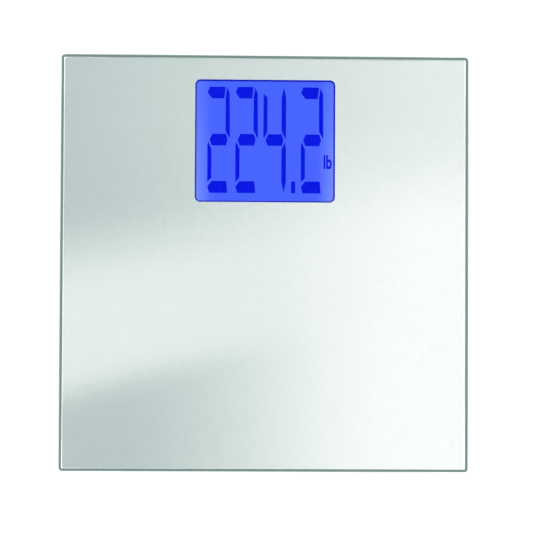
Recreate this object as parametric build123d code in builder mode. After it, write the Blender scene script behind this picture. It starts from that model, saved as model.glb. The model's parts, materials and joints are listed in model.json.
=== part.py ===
from build123d import *
import math
import os

# A digital body-weight scale: a clear glass platform over a brushed skin, standing on four
# load-cell feet, with a housing under the platform for the display, circuit board and cells.
# Millimetres. +Z is up and +Y points to the display end, the front. The origin is on the
# resting surface, under the platform's centre.

# Platform
platform_width = 314
platform_length = 320
overall_height = 25
glass_thickness = 6
glass_corner = 3
glass_edge_radius = 2.2  # pencil-ground edges, top and bottom
skin_thickness = 0.3
skin_margin_side = 2.8
skin_margin_end = 2.4
skin_corner = 1.5

# Display window in the skin
window_width = 108
window_length = 94.6
window_corner = 4.2
window_y = 94.2

# Housing under the platform
ground_gap = 4
housing_width = 140
housing_front_y = 154
housing_rear_y = -24
housing_corner = 8
housing_wall = 2
cover_thickness = 2
roof_thickness = 1.6

# Feet
foot_x = 118
foot_y = 121
foot_travel = 0.6
holder_radius = 29
foot_radius = 20

# Cells, size AAA, and the unit button
cell_radius = 5.25
cell_length = 44.5
cell_pitch = 11
button_x = 36
button_y = 6
button_travel = 0.5

# Leads
wire_radius = 0.5
wire_pitch = 1.1

# Levels above the resting surface
glass_bottom = overall_height - glass_thickness
skin_bottom = glass_bottom - skin_thickness
roof_z = skin_bottom - roof_thickness
cover_z = ground_gap + cover_thickness

skin_width = platform_width - 2 * skin_margin_side
skin_length = platform_length - 2 * skin_margin_end
housing_length = housing_front_y - housing_rear_y
housing_y = (housing_front_y + housing_rear_y) / 2
inner_width = housing_width - 2 * housing_wall
inner_length = housing_length - 2 * housing_wall
inner_corner = housing_corner - housing_wall

os.makedirs("parts", exist_ok=True)


def save(piece, name):
    piece.part.label = name
    export_step(piece.part, f"parts/{name}.step")


def level(z, x=0, y=0):
    return Plane(origin=(x, y, z))


def underside(z, x, y):
    return Plane(origin=(x, y, z), x_dir=(1, 0, 0), z_dir=(0, 0, -1))


# Platform

with BuildPart() as glass_platform:
    with BuildSketch(level(glass_bottom)):
        RectangleRounded(platform_width, platform_length, glass_corner)
    extrude(amount=glass_thickness)
    flats = glass_platform.faces().filter_by(Axis.Z)
    fillet(flats.edges(), glass_edge_radius)
save(glass_platform, "glass_platform")

with BuildPart() as steel_skin:
    with BuildSketch(level(skin_bottom)):
        RectangleRounded(skin_width, skin_length, skin_corner)
        with Locations((0, window_y)):
            RectangleRounded(window_width, window_length, window_corner, mode=Mode.SUBTRACT)
    extrude(amount=skin_thickness)
save(steel_skin, "steel_skin")

# Display

lcd_width = 118
lcd_length = 102
lcd_sheet = 1.4  # each of the two glass sheets
lcd_ledge = 3.5  # strip of the lower sheet that carries the contacts
frame_opening_width = 112
frame_opening_length = 98
gasket_thickness = 0.5
lcd_top = roof_z - gasket_thickness
lcd_middle = lcd_top - lcd_sheet
lcd_bottom = lcd_middle - lcd_sheet
diffuser_thickness = 0.3
guide_thickness = 3
reflector_thickness = 0.2
diffuser_z = lcd_bottom - diffuser_thickness
guide_z = diffuser_z - guide_thickness
reflector_z = guide_z - reflector_thickness
tray_wall = 1.2
tray_clearance = 0.4
tray_inner_width = lcd_width + 2 * tray_clearance
tray_inner_length = lcd_length + 2 * tray_clearance
tray_width = tray_inner_width + 2 * tray_wall
tray_length = tray_inner_length + 2 * tray_wall
tray_z = reflector_z - tray_wall
strip_thickness = 1
led_depth = 2.6
led_count = 8
led_pitch = 12
sheet_corner = 1

with BuildPart() as window_gasket:
    with BuildSketch(level(lcd_top, 0, window_y)):
        Rectangle(lcd_width, lcd_length)
        RectangleRounded(frame_opening_width, frame_opening_length, window_corner, mode=Mode.SUBTRACT)
    extrude(amount=gasket_thickness)
save(window_gasket, "window_gasket")

with BuildPart() as lcd_panel:
    with BuildSketch(level(lcd_bottom, 0, window_y)):
        Rectangle(lcd_width, lcd_length)
    extrude(amount=lcd_sheet)
    with BuildSketch(level(lcd_middle, 0, window_y + lcd_ledge / 2)):
        Rectangle(lcd_width, lcd_length - lcd_ledge)
    extrude(amount=lcd_sheet)
save(lcd_panel, "lcd_panel")

with BuildPart() as diffuser_sheet:
    with BuildSketch(level(diffuser_z, 0, window_y)):
        RectangleRounded(lcd_width, lcd_length, sheet_corner)
    extrude(amount=diffuser_thickness)
save(diffuser_sheet, "diffuser_sheet")

# The strip of diodes stands on the tray's left wall, and the guide takes the rest of the width.
tray_left = -tray_inner_width / 2
guide_left = tray_left + strip_thickness + led_depth
guide_width = tray_inner_width / 2 - guide_left

with BuildPart() as light_guide:
    with BuildSketch(level(guide_z, guide_left + guide_width / 2, window_y)):
        RectangleRounded(guide_width, lcd_length, sheet_corner)
    extrude(amount=guide_thickness)
save(light_guide, "light_guide")

with BuildPart() as reflector_sheet:
    with BuildSketch(level(reflector_z, guide_left + guide_width / 2, window_y)):
        RectangleRounded(guide_width, lcd_length, sheet_corner)
    extrude(amount=reflector_thickness)
save(reflector_sheet, "reflector_sheet")

strip_length = led_count * led_pitch
strip_height = 2.8
with BuildPart() as led_strip:
    with BuildSketch(level(guide_z, tray_left + strip_thickness / 2, window_y)):
        Rectangle(strip_thickness, strip_length)
    extrude(amount=strip_height)
save(led_strip, "led_strip")

led_length = 3.5
led_height = 1.6
with BuildPart() as backlight_leds:
    led_x = tray_left + strip_thickness + led_depth / 2
    with BuildSketch(level(guide_z + (strip_height - led_height) / 2, led_x, window_y)):
        with GridLocations(0, led_pitch, 1, led_count):
            Rectangle(led_depth, led_length)
    extrude(amount=led_height)
save(backlight_leds, "backlight_leds")

# The ribbon leaves the panel's contact ledge and comes down on the circuit board.
board_left = -8
board_right = 54
board_rear = -14
board_front = 32
board_bottom = 10.6
board_thickness = 1.6
board_top = board_bottom + board_thickness
ribbon_x = 26
ribbon_width = 38
ribbon_thickness = 0.2
ribbon_fold = 2
ribbon_landing = 4  # length that lies on the circuit board
ribbon_lead_out = 4
contact_gap = 0.6
lcd_rear = window_y - lcd_length / 2

with BuildPart() as lcd_ribbon:
    with BuildSketch(Plane.YZ.offset(ribbon_x)):
        with BuildLine():
            FilletPolyline(
                (lcd_rear + lcd_ledge - contact_gap, lcd_middle + ribbon_thickness / 2),
                (lcd_rear - ribbon_lead_out, lcd_middle + ribbon_thickness / 2),
                (board_front + ribbon_fold, board_top + ribbon_thickness / 2),
                (board_front - ribbon_landing, board_top + ribbon_thickness / 2),
                radius=ribbon_fold,
            )
        trace(line_width=ribbon_thickness)
    extrude(amount=ribbon_width / 2, both=True)
save(lcd_ribbon, "lcd_ribbon")

# The tray holds the stack. Its ears are screwed up to bosses on the frame's roof.
ear_x = 64
ear_y = (60, 128)
ear_width = 8
ear_reach = 67
boss_radius = 2.5
screw_radius = 1
recess_width = 0.5  # arms of the cross recess in a screw's head
pilot_clearance = 0.2
led_lead_x = tray_left + 1.15
led_lead_z = board_top + wire_radius
ribbon_slot_width = ribbon_width + 2
ribbon_slot_z = lcd_middle - 0.6
lead_slot_width = 3.6
lead_slot_z = board_top - 0.4

with BuildPart() as backlight_tray:
    with BuildSketch(level(tray_z, 0, window_y)):
        RectangleRounded(tray_width, tray_length, sheet_corner)
    extrude(amount=lcd_top - tray_z)
    with BuildSketch(level(reflector_z, 0, window_y)):
        Rectangle(tray_inner_width, tray_inner_length)
    extrude(amount=lcd_top - reflector_z, mode=Mode.SUBTRACT)
    with BuildSketch(level(tray_z)):
        for side in (-1, 1):
            for y in ear_y:
                with Locations((side * (tray_width / 2 + ear_reach) / 2, y)):
                    Rectangle(ear_reach - tray_width / 2, ear_width)
    extrude(amount=tray_wall)
    with BuildSketch(level(tray_z)):
        with Locations(*[(side * ear_x, y) for side in (-1, 1) for y in ear_y]):
            Circle(screw_radius + pilot_clearance)
    extrude(amount=tray_wall, mode=Mode.SUBTRACT)
    # slots in the rear wall, for the ribbon and the backlight leads
    rear_wall_y = window_y - tray_length / 2 + tray_wall / 2
    with BuildSketch(level(ribbon_slot_z, ribbon_x, rear_wall_y)):
        Rectangle(ribbon_slot_width, 2 * tray_wall)
    extrude(amount=lcd_top - ribbon_slot_z, mode=Mode.SUBTRACT)
    with BuildSketch(level(lead_slot_z, led_lead_x, rear_wall_y)):
        Rectangle(lead_slot_width, 2 * tray_wall)
    extrude(amount=lcd_top - lead_slot_z, mode=Mode.SUBTRACT)
save(backlight_tray, "backlight_tray")


def pan_screws(places, seat_z, length):
    # Cross-recessed pan heads under seat_z, with plain shanks standing up from them.
    head_radius = 2
    head_height = 1.4
    head_round = 0.5
    slot_length = 2.2
    slot_depth = 0.8
    with BuildPart() as screws:
        for x, y in places:
            with BuildSketch(level(seat_z - head_height, x, y)):
                Circle(head_radius)
            extrude(amount=head_height)
            with BuildSketch(level(seat_z, x, y)):
                Circle(screw_radius)
            extrude(amount=length)
        fillet(screws.faces().group_by(Axis.Z)[0].edges(), head_round)
        for x, y in places:
            with BuildSketch(level(seat_z - head_height, x, y)):
                Rectangle(slot_length, recess_width)
                Rectangle(recess_width, slot_length)
            extrude(amount=slot_depth, mode=Mode.SUBTRACT)
    return screws


tray_screw_length = 6
tray_screws = pan_screws([(side * ear_x, y) for side in (-1, 1) for y in ear_y], tray_z, tray_screw_length)
save(tray_screws, "tray_screws")

# Circuit board

board_screw_places = [(14, -10), (50, -10), (50, 28), (-4, 10)]
board_screw_length = 5
board_x = (board_left + board_right) / 2
board_y = (board_rear + board_front) / 2

with BuildPart() as main_board:
    with BuildSketch(level(board_bottom)):
        with Locations((board_x, board_y)):
            RectangleRounded(board_right - board_left, board_front - board_rear, sheet_corner)
        with Locations(*board_screw_places):
            Circle(screw_radius + pilot_clearance, mode=Mode.SUBTRACT)
    extrude(amount=board_thickness)
save(main_board, "main_board")

board_screws = pan_screws(board_screw_places, board_bottom, board_screw_length)
save(board_screws, "board_screws")

# The controller die is bonded to the board under a drop of epoxy.
drop_radius = 6
drop_height = 1.6
drop_round = 1.3
with BuildPart() as potted_controller:
    with BuildSketch(level(board_top, 30, 14)):
        Circle(drop_radius)
    extrude(amount=drop_height)
    fillet(potted_controller.faces().sort_by(Axis.Z)[-1].edges(), drop_round)
save(potted_controller, "potted_controller")

# Two round capacitors, two rows of resistors and a column of diodes
capacitor_radius = 2.5
capacitor_height = 4.2
resistor_size = (2, 1.2)
resistor_height = 0.6
diode_size = (3.2, 1.6)
diode_height = 0.8
with BuildPart() as board_components:
    with BuildSketch(level(board_top)):
        with Locations((44, 4), (44, 11)):
            Circle(capacitor_radius)
    extrude(amount=capacitor_height)
    with BuildSketch(level(board_top, 20, 2)):
        with GridLocations(2 * resistor_size[0], 2.5 * resistor_size[1], 4, 2):
            Rectangle(*resistor_size)
    extrude(amount=resistor_height)
    with BuildSketch(level(board_top, 10, 20)):
        with GridLocations(0, 2 * diode_size[1], 1, 3):
            Rectangle(*diode_size)
    extrude(amount=diode_height)
save(board_components, "board_components")

# Unit switch: the body is on the board's underside, and its plunger moves with the button.
switch_size = 6
switch_height = 2.8
switch_bottom = board_bottom - switch_height
switch_chamfer = 0.4
plunger_radius = 1.5
plunger_clearance = 0.08
plunger_bottom = switch_bottom - button_travel
plunger_length = 1.6
button_radius = 4
button_hole_radius = 4.3
button_recess = 0.3
button_round = 0.6
flange_radius = 5.4
flange_thickness = 1

with BuildPart() as unit_switch:
    with BuildSketch(level(switch_bottom, button_x, button_y)):
        Rectangle(switch_size, switch_size)
    extrude(amount=switch_height)
    chamfer(unit_switch.edges().filter_by(Axis.Z), switch_chamfer)
    with BuildSketch(level(switch_bottom, button_x, button_y)):
        Circle(plunger_radius + plunger_clearance)
    extrude(amount=plunger_length + pilot_clearance, mode=Mode.SUBTRACT)
save(unit_switch, "unit_switch")

with BuildPart() as switch_plunger:
    with BuildSketch(level(plunger_bottom, button_x, button_y)):
        Circle(plunger_radius)
    extrude(amount=plunger_length)
save(switch_plunger, "switch_plunger")

with BuildPart() as unit_button:
    with BuildSketch(level(ground_gap + button_recess, button_x, button_y)):
        Circle(button_radius)
    extrude(amount=cover_thickness - button_recess)
    fillet(unit_button.faces().sort_by(Axis.Z)[0].edges(), button_round)
    with BuildSketch(level(cover_z, button_x, button_y)):
        Circle(flange_radius)
    extrude(amount=flange_thickness)
    with BuildSketch(level(cover_z + flange_thickness, button_x, button_y)):
        Circle(plunger_radius)
    extrude(amount=plunger_bottom - cover_z - flange_thickness)
save(unit_button, "unit_button")

# Housing

cover_boss_radius = 3.2
cover_screw_places = [(side * 64, y) for side in (-1, 1) for y in (-18, 38, 148)]
cover_screw_length = 9.5
cover_round = 1.2
sink_radius = 2.3
button_lead_in = 0.8  # chamfer round the button's hole
notch_width = 6
notch_bottom = 13.6
rear_duct_x = 5.5

with BuildPart() as housing_frame:
    with BuildSketch(level(cover_z, 0, housing_y)):
        RectangleRounded(housing_width, housing_length, housing_corner)
    extrude(amount=skin_bottom - cover_z)
    with BuildSketch(level(cover_z, 0, housing_y)):
        RectangleRounded(inner_width, inner_length, inner_corner)
    extrude(amount=roof_z - cover_z, mode=Mode.SUBTRACT)
    with BuildSketch(level(roof_z, 0, window_y)):
        RectangleRounded(frame_opening_width, frame_opening_length, window_corner)
    extrude(amount=roof_thickness, mode=Mode.SUBTRACT)
    # bosses for the cover, the tray and the circuit board
    with BuildSketch(level(cover_z)):
        with Locations(*cover_screw_places):
            Circle(cover_boss_radius)
            Circle(screw_radius, mode=Mode.SUBTRACT)
    extrude(amount=roof_z - cover_z)
    with BuildSketch(level(reflector_z)):
        with Locations(*[(side * ear_x, y) for side in (-1, 1) for y in ear_y]):
            Circle(boss_radius)
            Circle(screw_radius, mode=Mode.SUBTRACT)
    extrude(amount=roof_z - reflector_z)
    with BuildSketch(level(board_top)):
        with Locations(*board_screw_places):
            Circle(boss_radius)
            Circle(screw_radius, mode=Mode.SUBTRACT)
    extrude(amount=roof_z - board_top)
    # notches where the load-cell leads come in: two in the sides, two in the rear wall
    with BuildSketch(level(notch_bottom)):
        with Locations(*[(side * (housing_width - housing_wall) / 2, foot_y) for side in (-1, 1)]):
            Rectangle(2 * housing_wall, notch_width)
        with Locations(*[(side * rear_duct_x, housing_rear_y + housing_wall / 2) for side in (-1, 1)]):
            Rectangle(notch_width, 2 * housing_wall)
    extrude(amount=roof_z - notch_bottom, mode=Mode.SUBTRACT)
save(housing_frame, "housing_frame")

# The cell well stands on the cover, open below, and the frame's roof closes it above.
cell_count = 4
well_x = -35.5
well_width = cell_count * cell_pitch + 1
well_rear_y = -17.5
plate_thickness = 0.4
spring_length = 5
dimple_height = 1.2
well_length = cell_length + spring_length + dimple_height + 2 * plate_thickness
well_front_y = well_rear_y + well_length
well_y = (well_rear_y + well_front_y) / 2
well_wall = 1.4
well_top = roof_z - 0.1
cell_z = 11.35
cell_places = [well_x + cell_pitch * (i - (cell_count - 1) / 2) for i in range(cell_count)]
tail_z = board_top + wire_radius
tail_places = (cell_places[0], cell_places[-1])
tail_width = 2

# Battery door: a plate in a rebate, on two hooked tabs at its rear end.
rebate = 1.5
door_gap = 0.3
door_plate = 1.2
door_panel = 0.6
tab_width = 5
tab_thickness = 1
tab_play = 0.4
tab_reach = 1.8  # how far the hook goes past the well's wall
neck_gap_rear = 0.5
neck_thickness = 1.2
tab_places = [well_x - cell_pitch, well_x + cell_pitch]
slot_top = 8.2
door_rear_y = well_rear_y - rebate + door_gap
door_front_y = well_front_y + rebate - door_gap
pull_width = 16
pull_length = 9
pull_depth = 1.1
door_pull_depth = 0.6
grip_length = 20
grip_width = 1.2
grip_depth = 0.4
grip_pitch = 3
grip_count = 4
grip_y = door_front_y - 14
leaf_width = 8
leaf_thickness = 1.2
leaf_height = 2.6
leaf_gap = 0.5

# Lips that locate the cover inside the frame: each side's two runs stop clear of the bosses.
lip_height = 1.6
lip_thickness = 1.2
lip_gap = 0.3
lip_x = inner_width / 2 - lip_gap - lip_thickness / 2
lip_rear_y = housing_rear_y + housing_wall + lip_gap + lip_thickness / 2
lip_front_y = housing_front_y - housing_wall - lip_gap - lip_thickness / 2
lip_runs = [(-12, 32), (44, 142)]
lip_end_length = 116

with BuildPart() as housing_cover:
    with BuildSketch(level(ground_gap, 0, housing_y)):
        RectangleRounded(housing_width, housing_length, housing_corner)
    extrude(amount=cover_thickness)
    fillet(housing_cover.faces().sort_by(Axis.Z)[0].edges(), cover_round)
    with BuildSketch(level(cover_z)):
        for rear_y, front_y in lip_runs:
            with Locations(*[(side * lip_x, (rear_y + front_y) / 2) for side in (-1, 1)]):
                Rectangle(lip_thickness, front_y - rear_y)
        with Locations((0, lip_rear_y), (0, lip_front_y)):
            Rectangle(lip_end_length, lip_thickness)
    extrude(amount=lip_height)
    # cell well
    with BuildSketch(level(cover_z, well_x, well_y)):
        Rectangle(well_width + 2 * well_wall, well_length + 2 * well_wall)
    extrude(amount=well_top - cover_z)
    with BuildSketch(level(ground_gap, well_x, well_y)):
        Rectangle(well_width, well_length)
    extrude(amount=well_top - ground_gap, mode=Mode.SUBTRACT)
    with BuildSketch(level(ground_gap, well_x, well_y)):
        Rectangle(well_width + 2 * rebate, well_length + 2 * rebate)
    extrude(amount=door_plate, mode=Mode.SUBTRACT)
    # slots in the well for the door's tabs and for the contacts' tails
    with BuildSketch(level(cover_z)):
        with Locations(*[(x, well_rear_y - well_wall / 2) for x in tab_places]):
            Rectangle(tab_width + 2 * tab_play, 2 * well_wall)
    extrude(amount=slot_top - cover_z, mode=Mode.SUBTRACT)
    with BuildSketch(level(tail_z - wire_radius)):
        with Locations(*[(x, well_front_y + well_wall / 2) for x in tail_places]):
            Rectangle(tail_width + 2 * pilot_clearance, 2 * well_wall)
    extrude(amount=2 * wire_radius, mode=Mode.SUBTRACT)
    # finger dish beside the door's free end
    with BuildSketch(level(ground_gap, well_x, well_front_y + rebate)):
        SlotOverall(pull_width, pull_length)
    extrude(amount=pull_depth, mode=Mode.SUBTRACT)
    with Locations(*[underside(ground_gap, x, y) for x, y in cover_screw_places]):
        CounterSinkHole(screw_radius + pilot_clearance, sink_radius, counter_sink_angle=90)
    with BuildSketch(level(ground_gap, button_x, button_y)):
        Circle(button_hole_radius)
    extrude(amount=cover_thickness, mode=Mode.SUBTRACT)
    button_rim = housing_cover.edges().filter_by(GeomType.CIRCLE).filter_by(
        lambda e: abs(e.radius - button_hole_radius) < 0.01 and e.center().Z < ground_gap + 0.1
    )
    chamfer(button_rim, button_lead_in)
save(housing_cover, "housing_cover")

# Countersunk screws, their heads a little below the cover's face
sunk_head_radius = 2.1
sunk_head_depth = sunk_head_radius - screw_radius
sunk_gap = 0.1
sunk_recess_length = 2.4
sunk_recess_depth = 0.9
with BuildPart() as cover_screws:
    for x, y in cover_screw_places:
        with BuildSketch(Plane(origin=(x, y, ground_gap), x_dir=(1, 0, 0), z_dir=(0, -1, 0))):
            Polygon(
                (0, sunk_gap),
                (sunk_head_radius, sunk_gap),
                (screw_radius, sunk_gap + sunk_head_depth),
                (screw_radius, cover_screw_length),
                (0, cover_screw_length),
                align=None,
            )
        revolve(axis=Axis((x, y, 0), (0, 0, 1)))
    for x, y in cover_screw_places:
        with BuildSketch(level(ground_gap + sunk_gap, x, y)):
            Rectangle(sunk_recess_length, recess_width)
            Rectangle(recess_width, sunk_recess_length)
        extrude(amount=sunk_recess_depth, mode=Mode.SUBTRACT)
save(cover_screws, "cover_screws")

with BuildPart() as battery_door:
    door_y = (door_rear_y + door_front_y) / 2
    with BuildSketch(level(ground_gap, well_x, door_y)):
        Rectangle(well_width + 2 * (rebate - door_gap), door_front_y - door_rear_y)
    extrude(amount=door_plate)
    with BuildSketch(level(ground_gap + door_plate, well_x, well_y)):
        Rectangle(well_width - 2 * door_gap, well_length - 2 * door_gap)
    extrude(amount=door_panel)
    # tabs: a neck inside the opening, hooked back over the cover's floor
    panel_top = ground_gap + door_plate + door_panel
    tab_top = cover_z + door_gap + tab_thickness
    neck_rear_y = well_rear_y + neck_gap_rear
    neck_front_y = neck_rear_y + neck_thickness
    tab_rear_y = well_rear_y - tab_reach
    with BuildSketch(level(panel_top)):
        with Locations(*[(x, (neck_rear_y + neck_front_y) / 2) for x in tab_places]):
            Rectangle(tab_width, neck_front_y - neck_rear_y)
    extrude(amount=tab_top - panel_top)
    with BuildSketch(level(tab_top - tab_thickness)):
        with Locations(*[(x, (tab_rear_y + neck_front_y) / 2) for x in tab_places]):
            Rectangle(tab_width, neck_front_y - tab_rear_y)
    extrude(amount=tab_thickness)
    # spring leaf of the latch, at the free end
    with BuildSketch(level(panel_top, well_x, well_front_y - leaf_gap - leaf_thickness / 2)):
        Rectangle(leaf_width, leaf_thickness)
    extrude(amount=leaf_height)
    # thumb dish and grip ribs on the outside
    with BuildSketch(level(ground_gap, well_x, door_front_y)):
        SlotOverall(pull_width, pull_length)
    extrude(amount=door_pull_depth, mode=Mode.SUBTRACT)
    with BuildSketch(level(ground_gap, well_x, grip_y)):
        with GridLocations(0, grip_pitch, 1, grip_count):
            SlotOverall(grip_length, grip_width)
    extrude(amount=grip_depth, mode=Mode.SUBTRACT)
save(battery_door, "battery_door")

# Cells and contacts


def end_plane(y, facing):
    # A plane across the well whose normal points along facing * Y.
    return Plane(origin=(0, y, cell_z), x_dir=(facing, 0, 0), z_dir=(0, facing, 0))


nub_radius = 1.9
nub_length = 1
spring_radius = 3
spring_wire = 0.25
spring_turns = 3
rear_stop = well_rear_y + plate_thickness
front_stop = well_front_y - plate_thickness

# Even cells have the nub to the front, odd ones to the rear.
with BuildPart() as battery_cells:
    for i, x in enumerate(cell_places):
        facing = 1 if i % 2 == 0 else -1
        base_y = rear_stop + spring_length if facing == 1 else front_stop - spring_length
        with BuildSketch(end_plane(base_y, facing)):
            with Locations((facing * x, 0)):
                Circle(cell_radius)
        extrude(amount=cell_length - nub_length)
        with BuildSketch(end_plane(base_y + facing * (cell_length - nub_length), facing)):
            with Locations((facing * x, 0)):
                Circle(nub_radius)
        extrude(amount=nub_length)
save(battery_cells, "battery_cells")

with BuildPart() as contact_springs:
    for i, x in enumerate(cell_places):
        facing = 1 if i % 2 == 0 else -1
        start_y = rear_stop + spring_wire if facing == 1 else front_stop - spring_wire
        height = spring_length - 2 * spring_wire
        with BuildLine():
            start = (x, start_y, cell_z)
            coil = Helix(height / spring_turns, height, spring_radius, center=start, direction=(0, facing, 0))
        with BuildSketch(Plane(origin=coil @ 0, z_dir=coil % 0)):
            Circle(spring_wire)
        sweep(is_frenet=True)
save(contact_springs, "contact_springs")

plate_height = 7
plate_overhang = 4.5  # how far a plate goes past its cell's axis
tail_reaches = (4.6, 3)  # the left tail is the longer
solder_length = 1
with BuildPart() as contact_plates:
    rear_links = [(cell_places[0] + cell_places[1]) / 2, (cell_places[2] + cell_places[3]) / 2]
    link_width = cell_pitch + 2 * plate_overhang
    with BuildSketch(end_plane(well_rear_y, 1)):
        with Locations(*[(x, 0) for x in rear_links]):
            Rectangle(link_width, plate_height)
    extrude(amount=plate_thickness)
    with BuildSketch(end_plane(well_front_y, -1)):
        with Locations((-(cell_places[1] + cell_places[2]) / 2, 0)):
            Rectangle(link_width, plate_height)
        with Locations(*[(-x, 0) for x in tail_places]):
            Rectangle(2 * plate_overhang, plate_height)
    extrude(amount=plate_thickness)
    # dimples that meet the nubs
    for i, x in enumerate(cell_places):
        facing = 1 if i % 2 == 0 else -1
        face_y = front_stop if facing == 1 else rear_stop
        with BuildSketch(end_plane(face_y, -facing)):
            with Locations((-facing * x, 0)):
                Circle(nub_radius)
        extrude(amount=dimple_height)
    # tails that the battery leads are soldered to
    for x, reach in zip(tail_places, tail_reaches):
        with BuildSketch(level(tail_z - plate_thickness / 2, x, well_front_y + reach / 2)):
            Rectangle(tail_width, reach)
        extrude(amount=plate_thickness)
save(contact_plates, "contact_plates")

# Leads


def bundle(route, radii, across, count):
    # Wires side by side along one route. across is the direction that they are spaced along.
    with BuildPart() as wires:
        with BuildLine():
            path = FilletPolyline(*route, radius=radii)
        with BuildSketch(Plane(origin=path @ 0, x_dir=across, z_dir=path % 0)):
            with GridLocations(wire_pitch, 0, count, 1):
                Circle(wire_radius)
        sweep()
    expected = count * math.pi * wire_radius**2 * path.length
    print(f"leads {path.length:.0f} mm long, radii {radii}, volume {wires.part.volume:.1f} of {expected:.1f}")
    return wires


battery_lead_turns = [(-7.6, 27), (-9.2, 22)]  # x of the long run, y where it comes onto the board
battery_lead_end_x = -5
battery_lead_bend = 2
with BuildPart() as battery_leads:
    for x, reach, (turn_x, end_y) in zip(tail_places, tail_reaches, battery_lead_turns):
        start_y = well_front_y + reach - solder_length
        with BuildLine():
            path = FilletPolyline(
                (x + tail_width / 2, start_y, tail_z),
                (turn_x, start_y, tail_z),
                (turn_x, end_y, tail_z),
                (battery_lead_end_x, end_y, tail_z),
                radius=battery_lead_bend,
            )
        with BuildSketch(Plane(origin=path @ 0, z_dir=path % 0)):
            Circle(wire_radius)
        sweep()
save(battery_leads, "battery_leads")

led_lead_turn_y = 40.2
led_lead_end_x = 0.8
backlight_leads = bundle(
    [
        (led_lead_x, window_y - strip_length / 2, led_lead_z),
        (led_lead_x, led_lead_turn_y, led_lead_z),
        (led_lead_end_x, led_lead_turn_y, led_lead_z),
        (led_lead_end_x, board_front - 2, led_lead_z),
    ],
    (3, 3),
    (1, 0, 0),
    2,
)
save(backlight_leads, "backlight_leads")

# Feet

# Heights in a foot: the rubber pad, the foot, the retainer and the load cell.
pad_radius = 17
pad_height = 2.2
pad_rings = (7, 11, 15)  # outer radii of the grooves in its face
groove_width = 1
groove_depth = 0.5
foot_round = 1
foot_bottom = 0.9
foot_top = 6
holder_bottom = 7.5
retainer_bottom = 7.6
retainer_plate = 1.2
retainer_top = retainer_bottom + retainer_plate
neck_radius = 7.9
neck_gap = 0.3
catch_radius = 9.2
catch_thickness = 1
catch_chamfer = 0.4
catch_bottom = retainer_top + foot_travel
boss_top_radius = 4
cell_bottom = 11
plate_gauge = 2.5
cell_top = cell_bottom + plate_gauge
load_cell_size = 34
load_cell_corner = 3
load_cell_cut = (23, 17)
tongue = (19, 12)
holder_round = 1.2
holder_bore = holder_radius - 2
retainer_gap = 0.2
holder_roof = skin_bottom - 1.8
pocket_size = load_cell_size + 0.6
pocket_wall = 1.5
seat_opening = 25
lead_z = 15.2
lead_exit_play = 1.3
lead_exit_height = 2.8
gauge_end = 11
gauge_size = (8, 9)
gauge_height = 2.6
gauge_round = 1.5


def foot_level(corner, z):
    # A foot's own plane: its X points inwards, to the housing.
    side, end = corner
    return Plane(origin=(side * foot_x, end * foot_y, z), x_dir=(-side, 0, 0), z_dir=(0, 0, 1))


def make_holder(corner):
    with BuildPart() as holder:
        with BuildSketch(foot_level(corner, holder_bottom)):
            Circle(holder_radius)
        extrude(amount=skin_bottom - holder_bottom)
        fillet(holder.faces().sort_by(Axis.Z)[0].edges(), holder_round)
        with BuildSketch(foot_level(corner, holder_bottom)):
            Circle(holder_bore)
        extrude(amount=holder_roof - holder_bottom, mode=Mode.SUBTRACT)
        # pocket round the load cell's sides
        with BuildSketch(foot_level(corner, cell_bottom)):
            Rectangle(pocket_size + 2 * pocket_wall, pocket_size + 2 * pocket_wall)
            Rectangle(pocket_size, pocket_size, mode=Mode.SUBTRACT)
        extrude(amount=holder_roof - cell_bottom)
        # seat that presses on the load cell's frame
        with BuildSketch(foot_level(corner, cell_top)):
            Rectangle(pocket_size, pocket_size)
            Rectangle(seat_opening, seat_opening, mode=Mode.SUBTRACT)
        extrude(amount=holder_roof - cell_top)
        # way out for the leads
        with BuildSketch(foot_level(corner, lead_z - lead_exit_play)):
            with Locations(((seat_opening / 2 + holder_radius) / 2, 0)):
                Rectangle(holder_radius - seat_opening / 2 + 2, notch_width)
        extrude(amount=lead_exit_height, mode=Mode.SUBTRACT)
    return holder


def make_load_cell(corner):
    # A stamped plate: an outer frame, and a tongue that the foot pushes up.
    with BuildPart() as load_cell:
        with BuildSketch(foot_level(corner, cell_bottom)):
            RectangleRounded(load_cell_size, load_cell_size, load_cell_corner)
            with Locations((-0.5, 0)):
                Rectangle(*load_cell_cut, mode=Mode.SUBTRACT)
            with Locations((2, 0)):
                Rectangle(*tongue)
        extrude(amount=plate_gauge)
    return load_cell


def make_retainer(corner):
    with BuildPart() as retainer:
        with BuildSketch(foot_level(corner, retainer_bottom)):
            Circle(holder_bore - retainer_gap)
            Circle(neck_radius + neck_gap, mode=Mode.SUBTRACT)
        extrude(amount=retainer_plate)
        with BuildSketch(foot_level(corner, retainer_top)):
            Circle(holder_bore - retainer_gap)
            Circle(load_cell_size / 2 + 2, mode=Mode.SUBTRACT)
        extrude(amount=cell_bottom - retainer_top)
    return retainer


def make_foot(corner):
    with BuildPart() as foot:
        with BuildSketch(foot_level(corner, foot_bottom)):
            Circle(foot_radius)
        extrude(amount=foot_top - foot_bottom)
        fillet(foot.faces().filter_by(Axis.Z).edges(), foot_round)
        with BuildSketch(foot_level(corner, foot_bottom)):
            Circle(pad_radius)
        extrude(amount=pad_height - foot_bottom, mode=Mode.SUBTRACT)
        with BuildSketch(foot_level(corner, foot_top)):
            Circle(neck_radius)
        extrude(amount=catch_bottom - foot_top)
        with BuildSketch(foot_level(corner, catch_bottom)):
            Circle(catch_radius)
        extrude(amount=catch_thickness)
        chamfer(foot.faces().sort_by(Axis.Z)[-1].edges(), catch_chamfer)
        with BuildSketch(foot_level(corner, catch_bottom + catch_thickness)):
            Circle(boss_top_radius)
        extrude(amount=cell_bottom - catch_bottom - catch_thickness)
    return foot


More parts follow.
